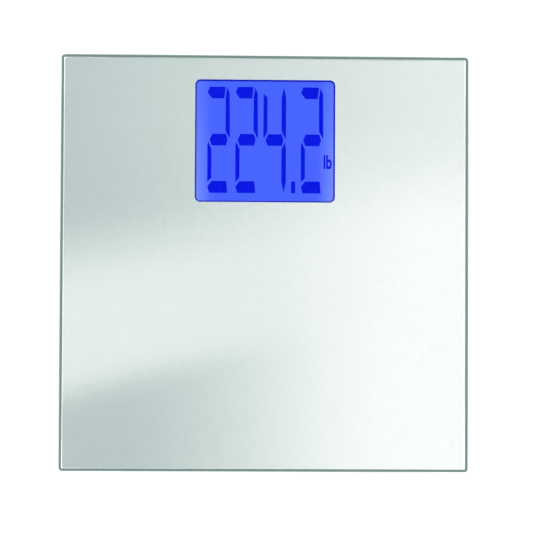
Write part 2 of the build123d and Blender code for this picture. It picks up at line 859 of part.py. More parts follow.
def make_pad(corner):
    with BuildPart() as pad:
        with BuildSketch(foot_level(corner, 0)):
            Circle(pad_radius)
        extrude(amount=pad_height)
        with BuildSketch(foot_level(corner, 0)):
            for radius in pad_rings:
                Circle(radius)
                Circle(radius - groove_width, mode=Mode.SUBTRACT)
        extrude(amount=groove_depth, mode=Mode.SUBTRACT)
    return pad


# Ducts carry the leads from the feet to the housing, bonded under the skin.
duct_width = 8
duct_wall = 1
duct_bottom = 13.4
duct_turn = 20
duct_gap = 0.3


def duct_line(route):
    # Straight in front of the housing, and with one wide turn behind it.
    if len(route) == 2:
        return Line(*route)
    return FilletPolyline(*route, radius=duct_turn)


def make_duct(route):
    with BuildPart() as duct:
        with BuildSketch(level(duct_bottom)):
            with BuildLine():
                duct_line(route)
            trace(line_width=duct_width)
        extrude(amount=skin_bottom - duct_bottom)
        with BuildSketch(level(duct_bottom + duct_wall)):
            with BuildLine():
                duct_line(route)
            trace(line_width=duct_width - 2 * duct_wall)
        extrude(amount=skin_bottom - duct_bottom - duct_wall, mode=Mode.SUBTRACT)
    return duct


corners = {
    "front_left": (-1, 1),
    "front_right": (1, 1),
    "rear_left": (-1, -1),
    "rear_right": (1, -1),
}
duct_start = foot_x - holder_radius - duct_gap
drop_x = 64.4
under_z = 7.6
landing_x = 46
landing_y = 22
crossing_y = 38  # where the left front leads cross under the board's front edge
crossing_x = 20
rear_landing_y = -6

for name, corner in corners.items():
    side, end = corner
    y = end * foot_y
    save(make_holder(corner), f"foot_holder_{name}")
    save(make_load_cell(corner), f"load_cell_{name}")
    save(make_retainer(corner), f"foot_retainer_{name}")
    save(make_foot(corner), f"foot_{name}")
    save(make_pad(corner), f"foot_pad_{name}")

    if end == 1:
        duct_route = [(side * duct_start, y), (side * (housing_width / 2 + duct_gap), y)]
        lead_route = [
            (side * (foot_x - gauge_end), y, lead_z),
            (side * drop_x, y, lead_z),
            (side * drop_x, y, under_z),
            (side * landing_x, y, under_z),
        ]
        if side == 1:
            lead_route.append((landing_x, landing_y, under_z))
            lead_route.append((landing_x, landing_y, board_bottom))
            lead_radii = (3, 3, 8, 2)
        else:
            lead_route.append((-landing_x, crossing_y, under_z))
            lead_route.append((crossing_x, crossing_y, under_z))
            lead_route.append((crossing_x, landing_y, under_z))
            lead_route.append((crossing_x, landing_y, board_bottom))
            lead_radii = (3, 3, 8, 8, 6, 2)
    else:
        duct_route = [
            (side * duct_start, y),
            (side * rear_duct_x, y),
            (side * rear_duct_x, housing_rear_y - duct_gap),
        ]
        lead_route = [
            (side * (foot_x - gauge_end), y, lead_z),
            (side * rear_duct_x, y, lead_z),
            (side * rear_duct_x, rear_landing_y, lead_z),
            (side * rear_duct_x, rear_landing_y, board_top),
        ]
        lead_radii = (duct_turn, 2)
    save(make_duct(duct_route), f"lead_duct_{name}")
    save(bundle(lead_route, lead_radii, (0, 1, 0), 3), f"cell_leads_{name}")

# White silicone over the strain gauges, at the root of each tongue
with BuildPart() as strain_gauges:
    for corner in corners.values():
        with BuildSketch(foot_level(corner, cell_top)):
            with Locations((gauge_end - gauge_size[0] / 2, 0)):
                Rectangle(*gauge_size)
        extrude(amount=gauge_height)
    fillet(strain_gauges.edges().filter_by(Axis.Z), gauge_round)
save(strain_gauges, "strain_gauges")
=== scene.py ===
import json
import math
import bpy
from mathutils import Matrix, Vector


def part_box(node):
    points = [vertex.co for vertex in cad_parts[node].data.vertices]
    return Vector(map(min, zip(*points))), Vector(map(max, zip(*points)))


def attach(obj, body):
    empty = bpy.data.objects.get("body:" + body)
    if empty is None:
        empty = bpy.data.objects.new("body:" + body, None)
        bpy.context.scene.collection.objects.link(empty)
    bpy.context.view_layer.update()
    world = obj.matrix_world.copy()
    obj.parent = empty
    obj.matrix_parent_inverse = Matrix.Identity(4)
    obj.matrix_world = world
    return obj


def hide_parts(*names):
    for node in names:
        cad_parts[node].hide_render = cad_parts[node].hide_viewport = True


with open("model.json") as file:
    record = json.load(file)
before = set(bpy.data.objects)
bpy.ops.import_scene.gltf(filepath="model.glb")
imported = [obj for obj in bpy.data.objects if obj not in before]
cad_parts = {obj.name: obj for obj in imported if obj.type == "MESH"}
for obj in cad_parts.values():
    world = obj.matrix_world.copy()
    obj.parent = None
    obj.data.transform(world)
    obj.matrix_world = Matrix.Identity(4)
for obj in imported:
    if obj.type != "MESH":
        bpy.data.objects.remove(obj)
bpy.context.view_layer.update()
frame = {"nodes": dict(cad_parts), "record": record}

nodes = frame["nodes"]
mm = 0.001
print("frame loaded:", len(nodes), "nodes")


def linear(hexColour):
    # an sRGB hex colour as linear RGBA
    channels = [int(hexColour[i:i + 2], 16) / 255 for i in (1, 3, 5)]
    return [c / 12.92 if c <= 0.04045 else ((c + 0.055) / 1.055) ** 2.4 for c in channels] + [1]


def addNode(tree, kind, inputs=None, **settings):
    # adds a shader node, sets it up, and links or fills its inputs
    node = tree.nodes.new(kind)
    for name, value in settings.items():
        setattr(node, name, value)
    for name, value in (inputs or {}).items():
        if isinstance(value, bpy.types.NodeSocket):
            tree.links.new(value, node.inputs[name])
        else:
            node.inputs[name].default_value = value
    return node


def newMaterial(name):
    # an empty material, its node tree, and the socket that gives a point's place on the object
    material = bpy.data.materials.new(name)
    material.use_nodes = True
    tree = material.node_tree
    tree.nodes.clear()
    return material, tree, addNode(tree, "ShaderNodeTexCoord").outputs["Object"]


def deselectAll():
    bpy.ops.object.select_all(action="DESELECT")


# The display window is cut out of the skin. Its place follows from the panel behind it.
panelLow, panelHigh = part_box("lcd_panel")
glassLow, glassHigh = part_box("glass_platform")
window = {
    "width": 108 * mm,
    "length": 94.6 * mm,
    "corner": 4.2 * mm,
    "centre": Vector((0, (panelLow.y + panelHigh.y) / 2, 0)),
}


def windowDistance(tree, place):
    # distance from the window's rounded outline, in metres: positive outside it, and negative
    # inside, where it goes no lower than the corner's radius
    half = Vector((window["width"] / 2, window["length"] / 2, 0)) - Vector((1, 1, 0)) * window["corner"]
    fromCentre = addNode(tree, "ShaderNodeVectorMath", {0: place, 1: window["centre"]}, operation="SUBTRACT")
    flat = addNode(tree, "ShaderNodeVectorMath", {
        0: fromCentre.outputs[0], 1: (1, 1, 0),
    }, operation="MULTIPLY")
    quarter = addNode(tree, "ShaderNodeVectorMath", {0: flat.outputs[0]}, operation="ABSOLUTE")
    beyond = addNode(tree, "ShaderNodeVectorMath", {0: quarter.outputs[0], 1: half}, operation="SUBTRACT")
    clipped = addNode(tree, "ShaderNodeVectorMath", {0: beyond.outputs[0]}, operation="MAXIMUM")
    reach = addNode(tree, "ShaderNodeVectorMath", {0: clipped.outputs[0]}, operation="LENGTH")
    distance = addNode(tree, "ShaderNodeMath", {
        0: reach.outputs["Value"], 1: window["corner"],
    }, operation="SUBTRACT")
    return distance.outputs[0]


studio = {
    "cameraHeight": 1.9,  # above the platform's face
    "cameraAside": (-0.065, -0.075),
    "aim": (0.0014, -0.0027),
    "lens": 167.5,
    "roll": 0.28,  # degrees
    "floorSize": 8,
    "clothHeight": 2.9,
    "clothSize": 3.0,
    "boxHeight": 1.25,
    "boxReach": 2.0,
    "boxSize": 1.6,
    "boxPower": 80,
    "underDepth": 1.2,
    "underSize": 1.2,
    "underPower": 9,
    "airColour": "#F4F6F6",
    "airStrength": 0.25,
}


def facing(place, target, up, roll=0.0):
    # a matrix at place that looks at target, with up towards the top of the view
    forward = (target - place).normalized()
    right = forward.cross(up).normalized()
    turn = Matrix((right, right.cross(forward), -forward)).transposed()
    return Matrix.Translation(place) @ turn.to_4x4() @ Matrix.Rotation(math.radians(roll), 4, "Z")


def addCamera():
    # nearly straight above, a little to the left and to the rear
    place = Vector((*studio["cameraAside"], glassHigh.z + studio["cameraHeight"]))
    target = Vector((*studio["aim"], glassHigh.z))
    bpy.ops.object.camera_add()
    camera = bpy.context.active_object
    camera.name = "studioCamera"
    camera.data.lens = studio["lens"]
    camera.matrix_world = facing(place, target, Vector((0, 1, 0)), studio["roll"])
    bpy.context.scene.camera = camera


def addFloor():
    # Matt white paper: hardly any gloss, and almost no tone of its own.
    bpy.ops.mesh.primitive_plane_add(size=studio["floorSize"], location=(0, 0, 0))
    floor = bpy.context.active_object
    floor.name = "paperFloor"
    material, tree, place = newMaterial("mattWhitePaper")
    fibre = addNode(tree, "ShaderNodeTexNoise", {"Vector": place, "Scale": 1 / (4 * mm), "Detail": 3.0})
    tint = addNode(tree, "ShaderNodeMix", {
        "Factor": fibre.outputs["Fac"], "A": linear("#F8F9F9"), "B": linear("#FCFCFB"),
    }, data_type="RGBA")
    paper = addNode(tree, "ShaderNodeBsdfPrincipled", {
        "Base Color": tint.outputs["Result"], "Roughness": 0.9, "Specular IOR Level": 0.2,
    })
    # It lets light and sight through from below, so that the underside can be looked at.
    side = addNode(tree, "ShaderNodeNewGeometry").outputs["Backfacing"]
    ray = addNode(tree, "ShaderNodeLightPath").outputs["Is Shadow Ray"]
    seeThrough = addNode(tree, "ShaderNodeMath", {0: side, 1: ray}, operation="MAXIMUM")
    clear = addNode(tree, "ShaderNodeBsdfTransparent")
    surface = addNode(tree, "ShaderNodeMixShader", {
        0: seeThrough.outputs[0], 1: paper.outputs[0], 2: clear.outputs[0],
    })
    addNode(tree, "ShaderNodeOutputMaterial", {"Surface": surface.outputs[0]})
    floor.data.materials.append(material)


# The cloth over the set is lit unevenly, and the skin mirrors it softly. These are the
# brightnesses that the skin takes from it, from the left end of the platform to the right.
cloth = {
    "frontTones": (0.56, 0.84),
    "rearTones": (0.54, 0.97),
    "bandTones": (0.83, 0.97),
    "bandFront": {"slope": -0.16, "offset": 0.032, "softness": 0.034},
    "bandRear": {"slope": -0.26, "offset": -0.062, "softness": 0.014},
    "groundFront": 0.11,  # the two grounds blend between these places along the platform
    "groundRear": -0.03,
    "groundStart": 0.8,  # where the rear ground begins to brighten, as a share of the way to the left end
    "brightFrom": 0.75,  # where it and the band are brightest, as a share of the way to the right end
    "mattShare": 0.17,  # brightness of the skin under an unlit cloth
    "mirrorShare": 0.61,  # what an even cloth of strength 1 adds
    "dimTone": 0.55,  # its colour goes from dimColour at this brightness
    "brightTone": 0.95,  # to brightColour at this one
    "dimColour": "#E8FFFF",
    "brightColour": "#FFFFFE",
}


def addCloth():
    bpy.ops.mesh.primitive_plane_add(size=studio["clothSize"], location=(0, 0, studio["clothHeight"]))
    sheet = bpy.context.active_object
    sheet.name = "litCloth"
    material, tree, place = newMaterial("unevenlyLitCloth")
    # from the cloth to the point of the platform that mirrors it
    rise = (studio["clothHeight"] - glassHigh.z) / studio["cameraHeight"]
    aside = Vector((*studio["cameraAside"], 0)) * rise / (1 + rise)
    scale = Vector((1, 1, 0)) / (1 + rise)
    mirrored = addNode(tree, "ShaderNodeMapping", {"Vector": place, "Location": aside, "Scale": scale})
    shown = mirrored.outputs[0]
    axes = addNode(tree, "ShaderNodeSeparateXYZ", {0: shown})
    left, right = glassLow.x, glassHigh.x
    brightFrom = cloth["brightFrom"] * right

    def tones(name, start, end, interpolation="LINEAR"):
        low, high = cloth[name]
        ramp = addNode(tree, "ShaderNodeMapRange", {
            "Value": axes.outputs["X"], "From Min": start, "From Max": end, "To Min": low, "To Max": high,
        }, interpolation_type=interpolation)
        return ramp.outputs[0]

    def beyondEdge(name, direction):
        # 1 on the bright side of a straight soft edge
        edge = cloth[name]
        across = addNode(tree, "ShaderNodeVectorMath", {
            0: shown, 1: (edge["slope"], 1, 0),
        }, operation="DOT_PRODUCT")
        soft = edge["softness"] * direction
        ramp = addNode(tree, "ShaderNodeMapRange", {
            "Value": across.outputs["Value"],
            "From Min": edge["offset"] - soft, "From Max": edge["offset"] + soft,
        }, interpolation_type="SMOOTHSTEP")
        return ramp.outputs[0]

    towardsRear = addNode(tree, "ShaderNodeMapRange", {
        "Value": axes.outputs["Y"], "From Min": cloth["groundFront"], "From Max": cloth["groundRear"],
    })
    ground = addNode(tree, "ShaderNodeMix", {
        "Factor": towardsRear.outputs[0],
        "A": tones("frontTones", left, right),
        "B": tones("rearTones", cloth["groundStart"] * left, brightFrom, "SMOOTHSTEP"),
    }, data_type="FLOAT")
    band = addNode(tree, "ShaderNodeMath", {
        0: beyondEdge("bandFront", -1), 1: beyondEdge("bandRear", 1),
    }, operation="MULTIPLY")
    wanted = addNode(tree, "ShaderNodeMix", {
        "Factor": band.outputs[0], "A": ground.outputs["Result"], "B": tones("bandTones", 0.0, brightFrom),
    }, data_type="FLOAT")
    strength = addNode(tree, "ShaderNodeMapRange", {
        "Value": wanted.outputs["Result"],
        "From Min": cloth["mattShare"], "From Max": cloth["mattShare"] + cloth["mirrorShare"],
    }, clamp=False)
    tint = addNode(tree, "ShaderNodeMapRange", {
        "Value": wanted.outputs["Result"], "From Min": cloth["dimTone"], "From Max": cloth["brightTone"],
    })
    colour = addNode(tree, "ShaderNodeMix", {
        "Factor": tint.outputs[0], "A": linear(cloth["dimColour"]), "B": linear(cloth["brightColour"]),
    }, data_type="RGBA")
    glow = addNode(tree, "ShaderNodeEmission", {
        "Color": colour.outputs["Result"], "Strength": strength.outputs[0],
    })
    addNode(tree, "ShaderNodeOutputMaterial", {"Surface": glow.outputs[0]})
    material.cycles.emission_sampling = "NONE"  # large enough to be found by chance
    sheet.data.materials.append(material)
    sheet.visible_camera = False  # only its mirror image shows


def addLights():
    world = bpy.data.worlds.new("studioAir")
    bpy.context.scene.world = world
    world.use_nodes = True
    background = world.node_tree.nodes["Background"]
    background.inputs["Color"].default_value = linear(studio["airColour"])
    background.inputs["Strength"].default_value = studio["airStrength"]
    reach = studio["boxReach"]
    for number, (x, y) in enumerate(((1, 1), (-1, 1), (-1, -1), (1, -1))):
        place = Vector((x * reach, y * reach, studio["boxHeight"]))
        bpy.ops.object.light_add(type="AREA")
        lamp = bpy.context.active_object
        lamp.name = f"softBox{number + 1}"
        lamp.data.shape = "SQUARE"
        lamp.data.size = studio["boxSize"]
        lamp.data.energy = studio["boxPower"]
        lamp.visible_glossy = False  # so that no hard-edged lamp shows in the glass
        lamp.visible_transmission = False
        lamp.matrix_world = facing(place, Vector((0, 0, 0)), Vector((0, 0, 1)))
    # one more under the see-through floor, which lights only the underside
    bpy.ops.object.light_add(type="AREA")
    lamp = bpy.context.active_object
    lamp.name = "underLight"
    lamp.data.shape = "SQUARE"
    lamp.data.size = studio["underSize"]
    lamp.data.energy = studio["underPower"]
    lamp.visible_camera = False
    lamp.visible_glossy = False
    lamp.matrix_world = facing(Vector((0, 0, -studio["underDepth"])), Vector((0, 0, 0)), Vector((0, 1, 0)))


addCamera()
addFloor()
addCloth()
addLights()
bpy.context.scene.view_settings.view_transform = "Standard"
print("studio ready")


glassFinish = {
    "ior": 1.52,
    "waveLength": 90 * mm,
    "wipeSize": 25 * mm,  # of the patches that a cloth leaves
    "wipeRoughness": 0.02,
    "grindMark": 0.4 * mm,  # real marks are 0.05 mm across, drawn eight times as wide so that they show
    "groundRoughness": (0.35, 0.65),
    "groundClearness": 0.15,
    "groundSlope": (0.9999, 0.997),  # upright part of a face's normal, polished and ground
    "outerSlope": (0.75, 0.4),  # the same from the dark to the pale part of the ground round
    # painted shade: the dark tone on the inner part of the ground round
    "groundShadeColour": "#5C716C",
    "outerColour": "#93A5A0",
    "coatingMargin": 0.5 * mm,  # the coating over the display is complete this far inside the window
}


def toughenedGlass():
    # Float glass: perfectly clear, with iron's faint green and a barely wavy mirror image. Its
    # pencil-ground edges are satin, and painted shade darkens their inner part, which gives the platform a
    # fine dark outline from above.
    finish = glassFinish
    material, tree, place = newMaterial("toughenedFloatGlass")
    waves = addNode(tree, "ShaderNodeTexNoise", {
        "Vector": place, "Scale": 1 / finish["waveLength"], "Detail": 1.0,
    })
    bump = addNode(tree, "ShaderNodeBump", {
        "Height": waves.outputs["Fac"], "Strength": 0.02, "Distance": 0.1 * mm,
    })
    facet = addNode(tree, "ShaderNodeNewGeometry").outputs["True Normal"]
    facetAxes = addNode(tree, "ShaderNodeSeparateXYZ", {0: facet})
    level = addNode(tree, "ShaderNodeMath", {0: facetAxes.outputs["Z"]}, operation="ABSOLUTE")
    ground = addNode(tree, "ShaderNodeMapRange", {
        "Value": level.outputs[0],
        "From Min": finish["groundSlope"][0], "From Max": finish["groundSlope"][1],
    })
    marks = addNode(tree, "ShaderNodeTexNoise", {
        "Vector": place, "Scale": 1 / finish["grindMark"], "Detail": 3.0,
    })
    satin = addNode(tree, "ShaderNodeMapRange", {
        "Value": marks.outputs["Fac"],
        "To Min": finish["groundRoughness"][0], "To Max": finish["groundRoughness"][1],
    })
    wipe = addNode(tree, "ShaderNodeTexNoise", {
        "Vector": place, "Scale": 1 / finish["wipeSize"], "Detail": 4.0,
    })
    haze = addNode(tree, "ShaderNodeMapRange", {
        "Value": wipe.outputs["Fac"], "From Min": 0.55, "From Max": 0.8,
        "To Min": 0.0, "To Max": finish["wipeRoughness"],
    })
    rough = addNode(tree, "ShaderNodeMix", {
        "Factor": ground.outputs[0], "A": haze.outputs[0], "B": satin.outputs[0],
    }, data_type="FLOAT")
    # the outermost part of the round keeps the ground glass's own paler colour; further in, the round is
    # darkened with painted shade
    outermost = addNode(tree, "ShaderNodeMapRange", {
        "Value": level.outputs[0],
        "From Min": finish["outerSlope"][0], "From Max": finish["outerSlope"][1],
    })
    # the ground glass's own pale tone at the outside, and painted shade further in
    edgeToneAndShade = addNode(tree, "ShaderNodeMix", {
        "Factor": outermost.outputs[0],
        "A": linear(finish["groundShadeColour"]), "B": linear(finish["outerColour"]),
    }, data_type="RGBA")
    colour = addNode(tree, "ShaderNodeMix", {
        "Factor": ground.outputs[0], "A": linear("#FEFFFE"), "B": edgeToneAndShade.outputs["Result"],
    }, data_type="RGBA")
    clearness = addNode(tree, "ShaderNodeMapRange", {
        "Value": ground.outputs[0], "To Min": 1.0, "To Max": finish["groundClearness"],
    })
    glass = addNode(tree, "ShaderNodeBsdfPrincipled", {
        "Base Color": colour.outputs["Result"], "Roughness": rough.outputs["Result"],
        "IOR": finish["ior"], "Transmission Weight": clearness.outputs[0], "Normal": bump.outputs[0],
    })
    # over the display an anti-reflection coating lets the figures show without a veil
    coating = addNode(tree, "ShaderNodeMapRange", {
        "Value": windowDistance(tree, place), "From Min": 0.0, "From Max": -finish["coatingMargin"],
    })
    unmirrored = addNode(tree, "ShaderNodeBsdfRefraction", {"Roughness": 0.0, "IOR": finish["ior"]})
    coated = addNode(tree, "ShaderNodeMixShader", {
        0: coating.outputs[0], 1: glass.outputs[0], 2: unmirrored.outputs[0],
    })
    # scattered light and the lamps' light pass straight through, which keeps the skin free of noise
    clear = addNode(tree, "ShaderNodeBsdfTransparent", {"Color": linear("#FCFEFD")})
    ray = addNode(tree, "ShaderNodeLightPath")
    passing = addNode(tree, "ShaderNodeMath", {
        0: ray.outputs["Is Shadow Ray"], 1: ray.outputs["Is Diffuse Ray"],
    }, operation="MAXIMUM")
    surface = addNode(tree, "ShaderNodeMixShader", {
        0: passing.outputs[0], 1: coated.outputs[0], 2: clear.outputs[0],
    })
    addNode(tree, "ShaderNodeOutputMaterial", {"Surface": surface.outputs[0]})
    return material


skinFinish = {
    "markLength": 70 * mm,
    "markWidth": 0.5 * mm,  # real brush marks are 0.05 mm wide, drawn ten times as wide so that they show
    "speckle": 2.2 * mm,
    "metalShare": 0.8,  # the rest of the light meets matt lacquer
    "colours": ("#D6D7D7", "#DFE0E0"),
}


def brushedStainless():
    # Stainless sheet, finely brushed and lacquered: part mirror and part matt, with a hair-fine grain.
    finish = skinFinish
    material, tree, place = newMaterial("brushedStainless")
    along, across = 1 / finish["markLength"], 1 / finish["markWidth"]
    hairs = addNode(tree, "ShaderNodeMapping", {"Vector": place, "Scale": (along, across, across)})
    brush = addNode(tree, "ShaderNodeTexNoise", {
        "Vector": hairs.outputs[0], "Scale": 1.0, "Detail": 3.0, "Roughness": 0.6,
    })
    speckle = addNode(tree, "ShaderNodeTexNoise", {
        "Vector": place, "Scale": 1 / finish["speckle"], "Detail": 2.0,
    })
    grain = addNode(tree, "ShaderNodeMath", {
        0: brush.outputs["Fac"], 1: 0.5, 2: speckle.outputs["Fac"],
    }, operation="MULTIPLY_ADD")
    tone = addNode(tree, "ShaderNodeMapRange", {
        "Value": grain.outputs[0], "From Min": 0.35, "From Max": 1.15,
    })
    colour = addNode(tree, "ShaderNodeMix", {
        "Factor": tone.outputs[0], "A": linear(finish["colours"][0]), "B": linear(finish["colours"][1]),
    }, data_type="RGBA")
    rough = addNode(tree, "ShaderNodeMapRange", {
        "Value": brush.outputs["Fac"], "To Min": 0.05, "To Max": 0.08,
    })
    bump = addNode(tree, "ShaderNodeBump", {
        "Height": brush.outputs["Fac"], "Strength": 0.03, "Distance": 0.01 * mm,
    })
    steel = addNode(tree, "ShaderNodeBsdfPrincipled", {
        "Base Color": colour.outputs["Result"], "Metallic": finish["metalShare"],
        "Roughness": rough.outputs[0], "Normal": bump.outputs[0],
    })
    addNode(tree, "ShaderNodeOutputMaterial", {"Surface": steel.outputs[0]})
    return material


backlight = {
    "leakStart": 38 * mm,  # the glow begins to pale this far to each side of the middle
    "leakEnd": 56 * mm,
    "leakFront": 30 * mm,  # in front of the window's centre, where it pales least
    "leakRear": 40 * mm,  # behind the centre, where it pales most
    "leakShares": (0.25, 0.85),
    "cloudSize": 30 * mm,
    "cloudShare": 0.3,
    "edgeShadeOuter": 0.8 * mm,  # the painted shade line along the window's edge is solid to this far inside the window
    "edgeShadeInner": 1.5 * mm,  # and has faded out here
    "fieldColour": "#4664FF",
    "leakColour": "#7890FF",
    # painted shade: the dark colour of the line just inside the window's edge
    "edgeShadeColour": "#0812B4",
    "unlitColour": "#020310",
}


def backlitPanel():
    # Liquid-crystal glass over a blue edge-lit guide: an even glow that pales towards its side
    # edges, with a dark line of painted shade along the window's edge.
    material, tree, place = newMaterial("backlitLiquidCrystal")
    axes = addNode(tree, "ShaderNodeSeparateXYZ", {0: place})
    aside = addNode(tree, "ShaderNodeMath", {0: axes.outputs["X"]}, operation="ABSOLUTE")
    leak = addNode(tree, "ShaderNodeMapRange", {
        "Value": aside.outputs[0], "From Min": backlight["leakStart"], "From Max": backlight["leakEnd"],
    }, interpolation_type="SMOOTHSTEP")
    # more of it leaks out towards the rear corners
    rearwards = addNode(tree, "ShaderNodeMapRange", {
        "Value": axes.outputs["Y"],
        "From Min": window["centre"].y + backlight["leakFront"],
        "From Max": window["centre"].y - backlight["leakRear"],
        "To Min": backlight["leakShares"][0], "To Max": backlight["leakShares"][1],
    })
    cloud = addNode(tree, "ShaderNodeTexNoise", {
        "Vector": place, "Scale": 1 / backlight["cloudSize"], "Detail": 1.0,
    })
    patches = addNode(tree, "ShaderNodeMath", {
        0: cloud.outputs["Fac"], 1: backlight["cloudShare"], 2: rearwards.outputs[0],
    }, operation="MULTIPLY_ADD")
    paleness = addNode(tree, "ShaderNodeMath", {
        0: leak.outputs[0], 1: patches.outputs[0],
    }, operation="MULTIPLY")
    field = addNode(tree, "ShaderNodeMix", {
        "Factor": paleness.outputs[0],
        "A": linear(backlight["fieldColour"]), "B": linear(backlight["leakColour"]),
    }, data_type="RGBA")
    # painted shade that darkens the glow along the window's edge
    windowEdgeShade = addNode(tree, "ShaderNodeMapRange", {
        "Value": windowDistance(tree, place),
        "From Min": -backlight["edgeShadeInner"], "From Max": -backlight["edgeShadeOuter"],
    })
    colour = addNode(tree, "ShaderNodeMix", {
        "Factor": windowEdgeShade.outputs[0],
        "A": field.outputs["Result"], "B": linear(backlight["edgeShadeColour"]),
    }, data_type="RGBA")
    panel = addNode(tree, "ShaderNodeBsdfPrincipled", {
        "Base Color": linear(backlight["unlitColour"]), "Roughness": 0.3, "Specular IOR Level": 0.05,
        "Emission Color": colour.outputs["Result"], "Emission Strength": 1.0,
    })
    addNode(tree, "ShaderNodeOutputMaterial", {"Surface": panel.outputs[0]})
    return material


def switchedCrystal():
    # Liquid crystal that is switched on: it holds back most of the backlight and stays deep blue.
    material, tree, place = newMaterial("switchedLiquidCrystal")
    cloud = addNode(tree, "ShaderNodeTexNoise", {"Vector": place, "Scale": 1 / (20 * mm), "Detail": 1.0})
    colour = addNode(tree, "ShaderNodeMix", {
        "Factor": cloud.outputs["Fac"], "A": linear("#0010E0"), "B": linear("#0014E6"),
    }, data_type="RGBA")
    ink = addNode(tree, "ShaderNodeBsdfPrincipled", {
        "Base Color": linear(backlight["unlitColour"]), "Roughness": 0.3, "Specular IOR Level": 0.05,
        "Emission Color": colour.outputs["Result"], "Emission Strength": 0.98,
    })
    addNode(tree, "ShaderNodeOutputMaterial", {"Surface": ink.outputs[0]})
    return material


def moulded(name, colours, roughness, grain=0.6, depth=0.03, ior=1.5):
    # Plastic, film or rubber out of a tool: a spark-eroded grain, in mm, and a faint flow cloud.
    material, tree, place = newMaterial(name)
    pits = addNode(tree, "ShaderNodeTexVoronoi", {"Vector": place, "Scale": 1 / (grain * mm)})
    flow = addNode(tree, "ShaderNodeTexNoise", {"Vector": place, "Scale": 1 / (25 * mm), "Detail": 3.0})
    colour = addNode(tree, "ShaderNodeMix", {
        "Factor": flow.outputs["Fac"], "A": linear(colours[0]), "B": linear(colours[1]),
    }, data_type="RGBA")
    rough = addNode(tree, "ShaderNodeMapRange", {
        "Value": pits.outputs["Distance"], "To Min": roughness - 0.06, "To Max": roughness + 0.08,
    })
    bump = addNode(tree, "ShaderNodeBump", {
        "Height": pits.outputs["Distance"], "Strength": 0.5, "Distance": depth * mm,
    })
    plastic = addNode(tree, "ShaderNodeBsdfPrincipled", {
        "Base Color": colour.outputs["Result"], "Roughness": rough.outputs[0], "IOR": ior,
        "Normal": bump.outputs[0],
    })
    addNode(tree, "ShaderNodeOutputMaterial", {"Surface": plastic.outputs[0]})
    return material


def plated(name, colours, roughness):
    # Plated steel: bright, with a fine drawn grain and a mottled passivation.
    material, tree, place = newMaterial(name)
    mottle = addNode(tree, "ShaderNodeTexNoise", {"Vector": place, "Scale": 1 / (3 * mm), "Detail": 4.0})
    grain = addNode(tree, "ShaderNodeTexNoise", {"Vector": place, "Scale": 1 / (0.4 * mm), "Detail": 2.0})
    colour = addNode(tree, "ShaderNodeMix", {
        "Factor": mottle.outputs["Fac"], "A": linear(colours[0]), "B": linear(colours[1]),
    }, data_type="RGBA")
    rough = addNode(tree, "ShaderNodeMapRange", {
        "Value": grain.outputs["Fac"], "To Min": roughness - 0.05, "To Max": roughness + 0.1,
    })
    bump = addNode(tree, "ShaderNodeBump", {
        "Height": grain.outputs["Fac"], "Strength": 0.2, "Distance": 0.01 * mm,
    })
    steel = addNode(tree, "ShaderNodeBsdfPrincipled", {
        "Base Color": colour.outputs["Result"], "Metallic": 1.0, "Roughness": rough.outputs[0],
        "Normal": bump.outputs[0],
    })
    addNode(tree, "ShaderNodeOutputMaterial", {"Surface": steel.outputs[0]})
    return material


finishes = {
    "platform_glass": toughenedGlass(),
    "brushed_skin": brushedStainless(),
    "display_blue": backlitPanel(),
    # closed-cell foam: dead black, with open cut cells
    "black_foam": moulded("closedCellFoam", ("#101012", "#19191C"), 0.85, grain=0.4, depth=0.1),
    "diffuser_film": moulded("mattDiffuserFilm", ("#E9EBEE", "#F2F3F5"), 0.5, grain=0.3, depth=0.01),
    "clear_acrylic": moulded("castAcrylic", ("#DDE4F2", "#E6ECF7"), 0.12, grain=1, depth=0.01, ior=1.49),
    "white_film": moulded("whiteReflectorFilm", ("#F0F0EE", "#F6F6F5"), 0.25, grain=0.8, depth=0.005),
    "board_white": moulded("whiteSolderMask", ("#E2E2DC", "#ECECE8"), 0.35, grain=0.5, depth=0.01),
    "led_resin": moulded("clearEpoxyLens", ("#C9D2F5", "#D6DDF8"), 0.15, grain=0.5, depth=0.005),
    "ribbon_film": moulded("polyimideFilm", ("#A9631F", "#B8742B"), 0.2, grain=0.9, depth=0.005, ior=1.7),
    "white_plastic": moulded("whiteAbs", ("#DADBDA", "#E4E4E2"), 0.4),
    "zinc_steel": plated("zincPlatedSteel", ("#B9BCC4", "#C9CBCC"), 0.28),
    "board_green": moulded("greenSolderMask", ("#0B4A22", "#12602E"), 0.3, grain=0.7, depth=0.01),
    "black_epoxy": moulded("curedBlackEpoxy", ("#0C0C0D", "#151516"), 0.25, grain=1.5, depth=0.02),
    "component_body": moulded("mouldedEpoxyCase", ("#1B1B1D", "#26262A"), 0.45, grain=0.3),
    "switch_black": moulded("blackNylon", ("#121213", "#1C1C1E"), 0.45, grain=0.3),
    "button_plastic": moulded("charcoalAbs", ("#33363A", "#3B3E42"), 0.42, grain=0.4),
    # the housing's spark-eroded grain hides sink marks
    "housing_plastic": moulded("paleGreyAbs", ("#A9ADAF", "#B2B6B8"), 0.48),
    "cell_jacket": moulded("shrinkFilmJacket", ("#1B2430", "#243040"), 0.22, grain=1.2, depth=0.005),
    "nickel_steel": plated("nickelPlatedSteel", ("#BDB7AB", "#CCC7BC"), 0.25),
    "lead_insulation": moulded("extrudedPvc", ("#8F1512", "#A01C17"), 0.4, grain=0.5, depth=0.01),
    "silicone_potting": moulded(
        "curedSilicone", ("#DCDBD5", "#E6E5E0"), 0.5, grain=1.2, depth=0.05, ior=1.41),
    # rubber is dull, and its pits are deep for their width
    "pad_rubber": moulded("mouldedRubber", ("#1D1D1F", "#28282A"), 0.7, grain=0.5, depth=0.05, ior=1.52),
}

